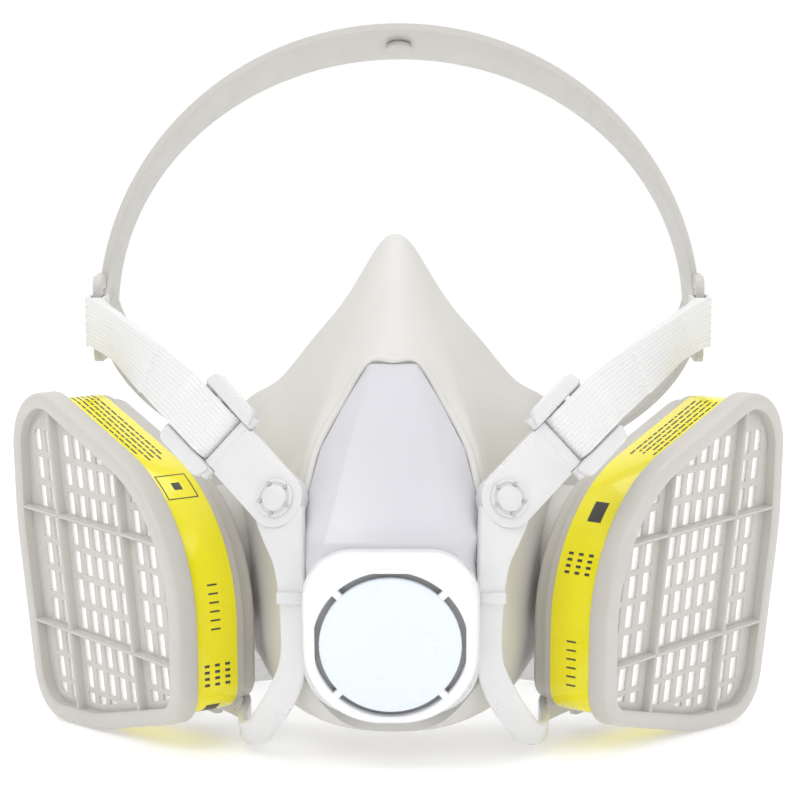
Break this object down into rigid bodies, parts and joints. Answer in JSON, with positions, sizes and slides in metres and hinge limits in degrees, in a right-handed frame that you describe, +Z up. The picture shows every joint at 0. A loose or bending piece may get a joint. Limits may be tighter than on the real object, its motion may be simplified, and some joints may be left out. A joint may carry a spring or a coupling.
{
  "type": "respirator",
  "caption": "Half-mask respirator: soft facepiece, twin bonded cartridges, centre exhalation valve, buckled elastic straps, oval head cradle and neck strap.",
  "frame": {"origin": "bottom centre of the whole as it stands on a table on its cartridges and yoke elbows", "axes": "+Z up, -Y the way the wearer would look (the exhalation valve's side), +X the wearer's left"},
  "size_m": [0.2054, 0.1634, 0.1843],
  "materials": {
    "elastomer": "matt warm light grey",
    "clear_window": "translucent, faintly lilac",
    "milky_plastic": "translucent white",
    "white_plastic": "satin",
    "silicone": "soft",
    "cartridge_grey": "fine texture",
    "label_yellow": "printed film",
    "filter_media": "non-woven",
    "sorbent": "granules",
    "white_elastic": "knitted elastic",
    "cradle_grey": "satin"
  },
  "bodies": {
    "mask": {"facepiece": "elastomer", "faceplate": "clear_window", "exhalation_valve_seat": "white_plastic", "valve_cover": "milky_plastic", "harness_yoke": "milky_plastic", "cartridge_housing_right": "cartridge_grey", "cartridge_housing_left": "cartridge_grey", "cartridge_cover_right": "cartridge_grey", "cartridge_cover_left": "cartridge_grey", "label_band_right": "label_yellow", "label_band_left": "label_yellow", "front_scrim_right": "filter_media", "front_scrim_left": "filter_media", "sorbent_bed_right": "sorbent", "sorbent_bed_left": "sorbent", "rear_scrim_right": "filter_media", "rear_scrim_left": "filter_media", "port_gasket_right": "silicone", "port_gasket_left": "silicone", "inhalation_seat_right": "white_plastic", "inhalation_seat_left": "white_plastic", "pivot_stud_right": "milky_plastic", "pivot_stud_left": "milky_plastic", "lower_buckle_right": "milky_plastic", "lower_buckle_left": "milky_plastic", "lower_loop_right": "white_elastic", "lower_loop_left": "white_elastic"},
    "exhalation_flap": {"exhalation_valve_flap": "silicone"},
    "inhalation_flap_right": {"inhalation_flap_right": "silicone"},
    "inhalation_flap_left": {"inhalation_flap_left": "silicone"},
    "arm_right": {"strap_arm_right": "milky_plastic"},
    "arm_left": {"strap_arm_left": "milky_plastic"},
    "buckle_right": {"buckle_right": "milky_plastic", "buckle_strap_right": "white_elastic"},
    "buckle_left": {"buckle_left": "milky_plastic", "buckle_strap_left": "white_elastic"},
    "side_straps": {"side_strap_right": "white_elastic", "side_strap_left": "white_elastic"},
    "cradle": {"ear_loop_right": "white_elastic", "ear_loop_left": "white_elastic", "head_cradle": "cradle_grey", "crown_button": "cradle_grey"},
    "neck_right": {"neck_strap_right": "white_elastic", "neck_clasp": "white_plastic"},
    "neck_left": {"neck_strap_left": "white_elastic", "neck_hook": "white_plastic"}
  },
  "joints": [
    {"name": "exhalation_flap_lift", "type": "slide", "parent": "mask", "child": "exhalation_flap", "axis": [0, -0.9703, -0.2419], "range_m": [0, 0.0018], "stiffness_N_per_m": 40, "springref_m": -0.0005},
    {"name": "inhalation_flap_lift_right", "type": "slide", "parent": "mask", "child": "inhalation_flap_right", "axis": [-0.788, 0.6133, 0.0537], "range_m": [0, 0.0014], "stiffness_N_per_m": 40, "springref_m": -0.0005},
    {"name": "arm_swivel_right", "type": "hinge", "parent": "mask", "child": "arm_right", "pos_m": [0.0275, -0.05921, 0.06365], "axis": [0.3856, -0.8798, 0.2779], "range_deg": [-8, 8]},
    {"name": "buckle_release_right", "type": "hinge", "parent": "arm_right", "child": "buckle_right", "pos_m": [0.03981, -0.04998, 0.07579], "axis": [0.6759, 0.0643, -0.7342], "range_deg": [0, 25], "stiffness_Nm_per_rad": 0.02, "springref_deg": -5.73},
    {"name": "inhalation_flap_lift_left", "type": "slide", "parent": "mask", "child": "inhalation_flap_left", "axis": [0.788, 0.6133, 0.0537], "range_m": [0, 0.0014], "stiffness_N_per_m": 40, "springref_m": -0.0005},
    {"name": "arm_swivel_left", "type": "hinge", "parent": "mask", "child": "arm_left", "pos_m": [-0.0275, -0.05921, 0.06365], "axis": [0.3856, 0.8798, -0.2779], "range_deg": [-8, 8]},
    {"name": "buckle_release_left", "type": "hinge", "parent": "arm_left", "child": "buckle_left", "pos_m": [-0.03981, -0.04998, 0.07579], "axis": [0.6759, -0.0643, 0.7342], "range_deg": [0, 25], "stiffness_Nm_per_rad": 0.02, "springref_deg": -5.73},
    {"name": "harness_swing", "type": "hinge", "parent": "mask", "child": "side_straps", "pos_m": [0, -0.02787, 0.09162], "axis": [1, 0, 0], "range_deg": [-5, 35]},
    {"name": "cradle_tilt", "type": "hinge", "parent": "side_straps", "child": "cradle", "pos_m": [0, 0.00063, 0.09915], "axis": [1, 0, 0], "range_deg": [-20, 25]},
    {"name": "neck_strap_lift", "type": "hinge", "parent": "mask", "child": "neck_right", "pos_m": [0, 0.0022, 0.0075], "axis": [1, 0, 0], "range_deg": [0, 30]},
    {"name": "neck_clip_pull", "type": "slide", "parent": "neck_right", "child": "neck_left", "axis": [-1, 0, 0], "range_m": [0, 0.007]}
  ]
}
